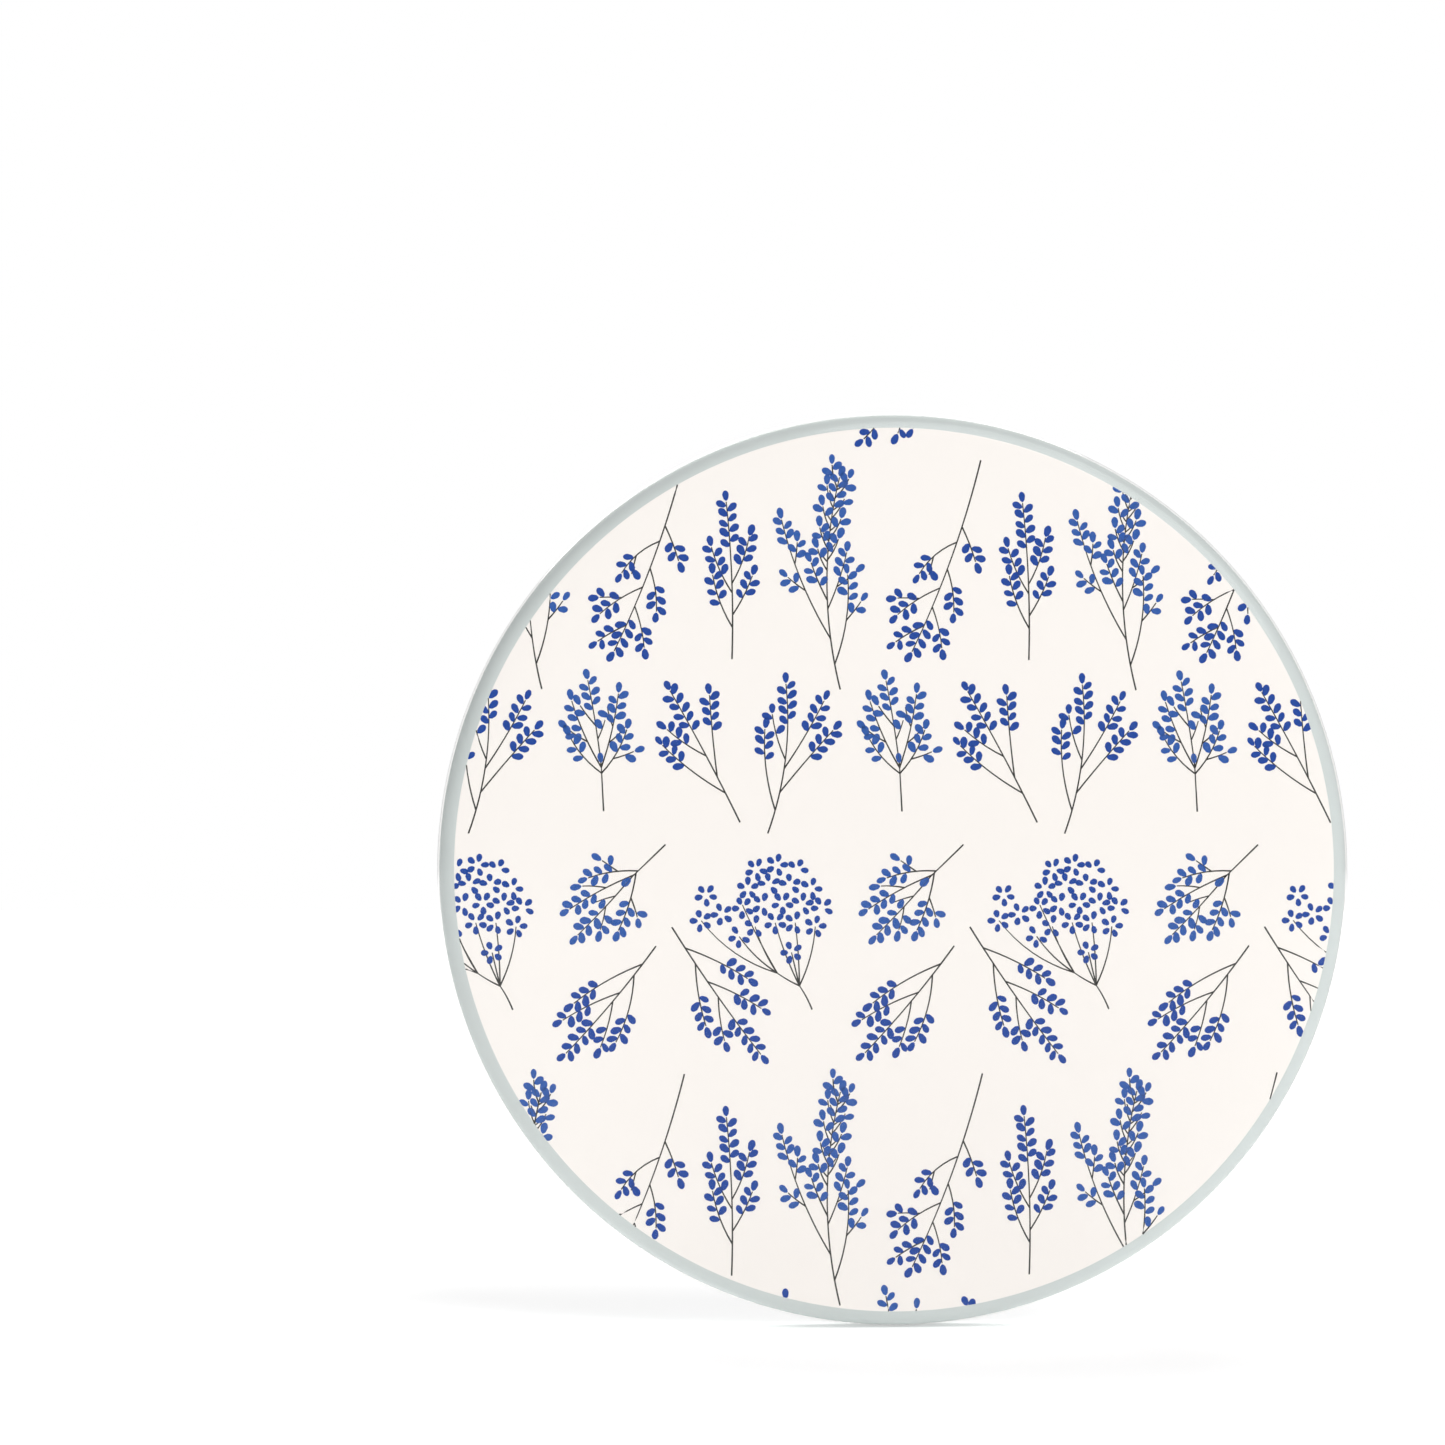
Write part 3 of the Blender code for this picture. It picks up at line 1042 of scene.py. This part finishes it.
class MAGNET_OT_stem_print(bpy.types.Operator):
    """Print the thin grey stems of the sprigs as flattened lines"""

    bl_idname = "button_magnet.stem_print"
    bl_label = "Stem Print"

    def execute(self, context):
        sizes = context.scene.magnet_print
        skin = context.scene.magnet_skin
        curve = bpy.data.curves.new("stem_print", "CURVE")
        curve.dimensions = "3D"
        curve.bevel_depth = sizes.line_width / 2
        curve.bevel_resolution = 0
        curve.use_fill_caps = True
        for _, sprig, x, z, _ in grown_sprigs(sizes):
            for place in repeats(sizes, x, z):
                for number, line in enumerate(sprig.lines):
                    width = 1 - LINE_WIDTH_STEP * (number % LINE_WIDTHS)
                    moved = [(point[0] + place[0], point[1] + place[1]) for point in line]
                    for run in trim_line(moved, sizes.radius):
                        draw_line(curve, run, width)
        piece = bpy.data.objects.new("stem_print", curve)
        context.collection.objects.link(piece)
        pick(piece)
        bpy.ops.object.convert(target="MESH")
        piece = context.object
        bpy.ops.object.mode_set(mode="EDIT")
        close_seams()
        drape(piece, skin, 2 * sizes.line_ink / sizes.line_width)
        grey = printing_ink("offset_ink_grey", context.scene.magnet_colours.stem, 0.03)
        settle(piece, grey, "printed_paper")
        return {"FINISHED"}


# ---- back


def collet_outline(skin, back):
    """Closed section of the collet: its back face from the axis out, then its front face back in."""
    adhesive_front = -ADHESIVE_LOW[1]
    floor = adhesive_front + skin.gap
    bead_radius = 0.30 * MM
    bead_centre = (back.bead_radius, back.bead_back + bead_radius)
    lip = back.bead_radius + bead_radius
    outer = [
        # The recess's floor and the crease round it
        (0.0, floor),
        (12 * MM, floor),
        (back.recess_radius - 0.10 * MM, floor),
        (back.recess_radius, floor - 0.02 * MM),
        *bend((back.crease_radius, back.crease_height + 0.06 * MM), 0.06 * MM, 1.28 * pi, 0.96 * pi, 4),
        # The hollow band
        (back.crease_radius + 0.25 * MM, back.band_height - 0.03 * MM),
        (back.crease_radius + 0.45 * MM, back.band_height),
        (back.crease_radius + 0.65 * MM, back.band_height - 0.05 * MM),
        # The bead's two ridges with a groove between them
        *bend(bead_centre, bead_radius, 1.42 * pi, 1.02 * pi, 7),
        (back.bead_radius + 0.07 * MM, back.bead_back + 0.035 * MM),
        (back.bead_radius + 0.11 * MM, back.bead_back + 0.035 * MM),
        *bend((lip - 0.10 * MM, back.bead_back + 0.12 * MM), 0.10 * MM, 1.1 * pi, 0.5 * pi, 5),
        # The wall and the flange
        (lip, back.bead_back + 0.45 * MM),
        (lip, back.bead_back + 0.70 * MM),
        (back.flange_radius, back.flange_height - skin.tinplate),
    ]
    inner = [
        (back.flange_radius - 0.02 * MM, back.flange_height),
        (lip - skin.tinplate, back.bead_back + 0.85 * MM),
        (lip - skin.tinplate, back.bead_back + 0.45 * MM),
        (back.bead_radius, back.bead_back + skin.tinplate + 0.02 * MM),
        (back.crease_radius + 0.75 * MM, back.band_height + skin.tinplate - 0.02 * MM),
        (back.crease_radius + 0.35 * MM, back.band_height + skin.tinplate),
        (back.crease_radius, back.crease_height + skin.tinplate + 0.03 * MM),
        (back.recess_radius + 0.04 * MM, floor + skin.tinplate),
        (0.0, floor + skin.tinplate),
    ]
    return outer + inner


class MAGNET_OT_back_collet(bpy.types.Operator):
    """Model the pressed collet with its crease, hollow band, double bead and flange"""

    bl_idname = "button_magnet.back_collet"
    bl_label = "Back Collet"

    def execute(self, context):
        scene = context.scene
        outline = collet_outline(scene.magnet_skin, scene.magnet_back)
        piece = spin_outline("collet_pressing", outline, COLLET_TURN_STEPS)
        smooth(piece, 50)
        material = bronzed_tinplate(scene.magnet_colours, scene.magnet_back)
        settle(piece, material, "back_collet", "back_collet")
        return {"FINISHED"}


def cut_disc(name, radius, low, high, corners, bevel):
    """A disc cut from sheet, a circle extruded from its back at high to its front at low, all its
    edges softened."""
    deselect_all()
    bpy.ops.mesh.primitive_circle_add(
        vertices=corners, radius=radius, fill_type="NGON", location=(0, 0, 0), rotation=(-pi / 2, 0, 0)
    )
    piece = named(name)
    bpy.ops.object.transform_apply(location=False, rotation=True, scale=False)
    bpy.ops.object.mode_set(mode="EDIT")
    bpy.ops.mesh.select_all(action="SELECT")
    bpy.ops.transform.translate(value=(0, high, 0))
    bpy.ops.mesh.extrude_region_move(TRANSFORM_OT_translate={"value": (0, low - high, 0)})
    bpy.ops.mesh.select_all(action="SELECT")
    bpy.ops.mesh.normals_make_consistent(inside=False)
    bpy.ops.mesh.bevel(offset=bevel, segments=3, affect="EDGES")
    bpy.ops.object.mode_set(mode="OBJECT")
    return piece


def wander_edge(piece, radius, depth):
    """Cut a disc's rim a little unevenly, with one flatter stretch, low on its left from behind."""
    flat_angle = radians(-24)
    flat_reach = radians(14)
    flat_depth = 2.6
    # Shallow waves round the rim: how many, how deep and where they start
    waves = ((3, 0.30, 0.7), (7, 0.22, 0.0), (17, 0.10, 2.0))
    least = 0.62  # the waves' depths together, so that none stands past the disc's radius
    for vertex in piece.data.vertices:
        reach = hypot(vertex.co.x, vertex.co.z)
        if reach < 0.9 * radius:
            continue
        angle = atan2(vertex.co.z, vertex.co.x)
        wave = sum(deep * sin(count * angle + start) for count, deep, start in waves)
        away = (angle - flat_angle + pi) % (2 * pi) - pi
        flat = exp(-((away / flat_reach) ** 2)) * flat_depth
        share = 1 - depth * (least + wave + flat) / radius
        vertex.co.x *= share
        vertex.co.z *= share


class MAGNET_OT_magnet(bpy.types.Operator):
    """Model the flexible magnet and the adhesive that holds it"""

    bl_idname = "button_magnet.magnet"
    bl_label = "Magnet and Adhesive"

    def execute(self, context):
        back = context.scene.magnet_back
        colours = context.scene.magnet_colours
        front = -back.magnet_thickness
        magnet = cut_disc(
            "magnet_sheet", back.magnet_radius, front, 0.0, MAGNET_CORNERS, bevel=0.06 * MM
        )
        wander_edge(magnet, back.magnet_radius, back.magnet_wander)
        smooth(magnet, 35)
        settle(magnet, ferrite_rubber(colours), "magnet_disc", "magnet_disc")
        layer = cut_disc(
            "adhesive_layer",
            back.adhesive_radius,
            ADHESIVE_LOW[1],
            ADHESIVE_HIGH[1],
            ADHESIVE_CORNERS,
            bevel=0.02 * MM,
        )
        smooth(layer, 35)
        settle(layer, transfer_adhesive(colours), "adhesive_disc", "adhesive_disc")
        return {"FINISHED"}


# ---- stage


def aim(obj, target):
    """Point an object's -Z at a target."""
    toward = Vector(target) - obj.location
    obj.rotation_euler = toward.to_track_quat("-Z", "Y").to_euler()


def soft_light(name, kind, place, target, size, power):
    """A light aimed at a target. Size is a disc's diameter in metres or a sun's angle."""
    data = bpy.data.lights.new(name, kind)
    data.energy = power
    if kind == "SUN":
        data.angle = size
    else:
        data.shape = "DISK"
        data.size = size
    light = bpy.data.objects.new(name, data)
    bpy.context.scene.collection.objects.link(light)
    light.location = place
    light.visible_camera = False
    aim(light, target)
    return light


def studio_floor(colours, level):
    """A wide matt floor just under the button."""
    deselect_all()
    bpy.ops.mesh.primitive_plane_add(size=6.0, location=(0, 0, 0))
    floor = named("studio_floor")
    bpy.ops.object.mode_set(mode="EDIT")
    bpy.ops.mesh.select_all(action="SELECT")
    bpy.ops.transform.translate(value=(0, 0, level))
    bpy.ops.object.mode_set(mode="OBJECT")
    material, tree, place = new_material("studio_floor_matt")
    cloud = add(tree, "TexNoise", {"Vector": place, "Scale": 8.0, "Detail": 2.0})
    tones = {6: opaque(colours.floor, 0.98), 7: opaque(colours.floor)}
    colour = add(tree, "Mix", {0: cloud, **tones}, data_type="RGBA")
    matt = {"Base Color": colour, "Roughness": 0.9, "Specular IOR Level": 0.1}
    glow = {"Emission Color": (1, 1, 1, 1), "Emission Strength": 0.3}
    finish_material(material, add(tree, "BsdfPrincipled", {**matt, **glow}))
    floor.data.materials.append(material)


def studio_world(level):
    """White seen from the camera, and a dimmer even light on everything else."""
    scene = bpy.context.scene
    if scene.world is None:
        scene.world = bpy.data.worlds.new("studio")
    scene.world.use_nodes = True
    tree = scene.world.node_tree
    tree.nodes.clear()
    seen = add(tree, "Background", {"Color": (1, 1, 1, 1), "Strength": 1.0})
    around = add(tree, "Background", {"Color": (1, 1, 1, 1), "Strength": level})
    path = add(tree, "LightPath")
    mixed = add(tree, "MixShader", {0: path.outputs["Is Camera Ray"], 1: around, 2: seen})
    add(tree, "OutputWorld", {"Surface": mixed})


class MAGNET_OT_stage(bpy.types.Operator):
    """Set up the floor, the soft studio light and the camera"""

    bl_idname = "button_magnet.stage"
    bl_label = "Stage"

    def execute(self, context):
        scene = context.scene
        skin = scene.magnet_skin
        middle = Vector((0, -skin.front / 2, 0))
        floor_gap = 0.02 * MM
        studio_floor(scene.magnet_colours, -skin.radius - floor_gap)
        studio_world(0.30)
        soft_light("front_key", "SUN", (0.6, -1.0, 1.0), middle, size=radians(50), power=1.56)
        soft_light("back_key", "SUN", (-0.1, 1.1, 1.0), middle, size=radians(50), power=1.8)

        # A sheen on the magnet alone, from beside its back
        side = soft_light("back_side", "AREA", (-0.11, 0.09, 0.09), middle, size=0.10, power=1.8)
        side.visible_diffuse = False
        lit = bpy.data.collections.new("lit_from_the_side")
        lit.objects.link(bpy.data.objects["magnet_sheet"])
        side.light_linking.receiver_collection = lit

        # The view takes in the given width at the button, seen a little from its left, and looks
        # past it to the left and above
        lens = 120.0
        sensor = 36.0
        view_width = 92.1 * MM
        aside = 10.9 * MM
        above = 9.3 * MM
        distance = view_width * lens / sensor
        azimuth = radians(-5.5)
        data = bpy.data.cameras.new("camera")
        data.lens = lens
        data.sensor_width = sensor
        data.clip_start = 0.01
        camera = bpy.data.objects.new("camera", data)
        scene.collection.objects.link(camera)
        camera.location = middle + Vector((sin(azimuth), -cos(azimuth), 0)) * distance
        right = Vector((cos(azimuth), sin(azimuth), 0))
        aim(camera, middle - right * aside + Vector((0, 0, above)))
        scene.camera = camera
        scene.view_settings.view_transform = "Standard"
        return {"FINISHED"}


# ---- add-on

OPERATORS = (
    MAGNET_OT_printed_paper,
    MAGNET_OT_leaf_print,
    MAGNET_OT_stem_print,
    MAGNET_OT_clear_film,
    MAGNET_OT_front_shell,
    MAGNET_OT_back_collet,
    MAGNET_OT_magnet,
    MAGNET_OT_stage,
)
SETTINGS = (
    ("magnet_skin", SkinSettings),
    ("magnet_pleats", PleatSettings),
    ("magnet_print", PrintSettings),
    ("magnet_back", BackSettings),
    ("magnet_colours", ColourSettings),
)


class VIEW3D_PT_button_magnet(bpy.types.Panel):
    """The steps of the button magnet, in the order they are run"""

    bl_label = "Button Magnet"
    bl_space_type = "VIEW_3D"
    bl_region_type = "UI"
    bl_category = "Magnet"

    def draw(self, context):
        for operator in OPERATORS:
            self.layout.operator(operator.bl_idname)
        for name, _ in SETTINGS:
            group = getattr(context.scene, name)
            box = self.layout.box()
            for setting in group.bl_rna.properties.keys():
                if setting not in {"rna_type", "name"}:
                    box.prop(group, setting)


def register():
    for name, group in SETTINGS:
        bpy.utils.register_class(group)
        setattr(bpy.types.Scene, name, bpy.props.PointerProperty(type=group))
    for operator in OPERATORS:
        bpy.utils.register_class(operator)
    bpy.utils.register_class(VIEW3D_PT_button_magnet)


def unregister():
    bpy.utils.unregister_class(VIEW3D_PT_button_magnet)
    for operator in reversed(OPERATORS):
        bpy.utils.unregister_class(operator)
    for name, group in reversed(SETTINGS):
        delattr(bpy.types.Scene, name)
        bpy.utils.unregister_class(group)


def main():
    register()
    bpy.ops.button_magnet.printed_paper()
    bpy.ops.button_magnet.leaf_print()
    bpy.ops.button_magnet.stem_print()
    bpy.ops.button_magnet.clear_film()
    bpy.ops.button_magnet.front_shell()
    bpy.ops.button_magnet.back_collet()
    bpy.ops.button_magnet.magnet()
    bpy.ops.button_magnet.stage()


if __name__ == "__main__":
    main()
